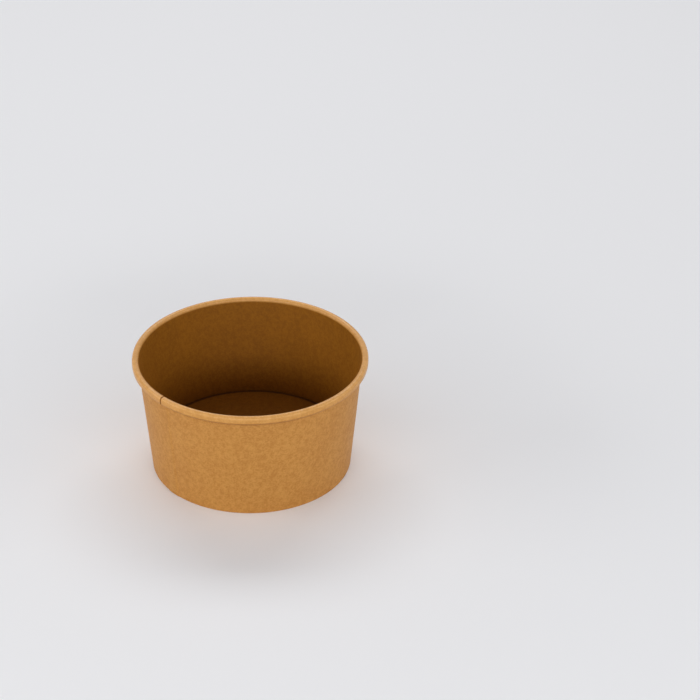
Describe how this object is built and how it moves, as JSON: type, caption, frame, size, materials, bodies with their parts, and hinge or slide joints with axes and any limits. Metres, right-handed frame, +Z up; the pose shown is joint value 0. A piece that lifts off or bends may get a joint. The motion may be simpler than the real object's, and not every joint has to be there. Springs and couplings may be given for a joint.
{
  "type": "kraft salad bowl",
  "caption": "Round, open kraft paperboard bowl with a leaning wall, an outward-rolled rim, a lapped side seam and a recessed flat floor held in a folded base.",
  "frame": {"origin": "on the table at the middle of the base, under the bowl's axis", "axes": "+Z up along the bowl's axis, from the base to the open mouth; the picture looks along +Y, with +X to its right"},
  "size_m": [0.15, 0.15, 0.078],
  "materials": {
    "kraft_board": "satin, thinly coated inside",
    "kraft_floor": "satin, thinly coated inside"
  },
  "bodies": {
    "root": {"side_wall": "kraft_board", "base_disc": "kraft_floor"}
  },
  "joints": []
}
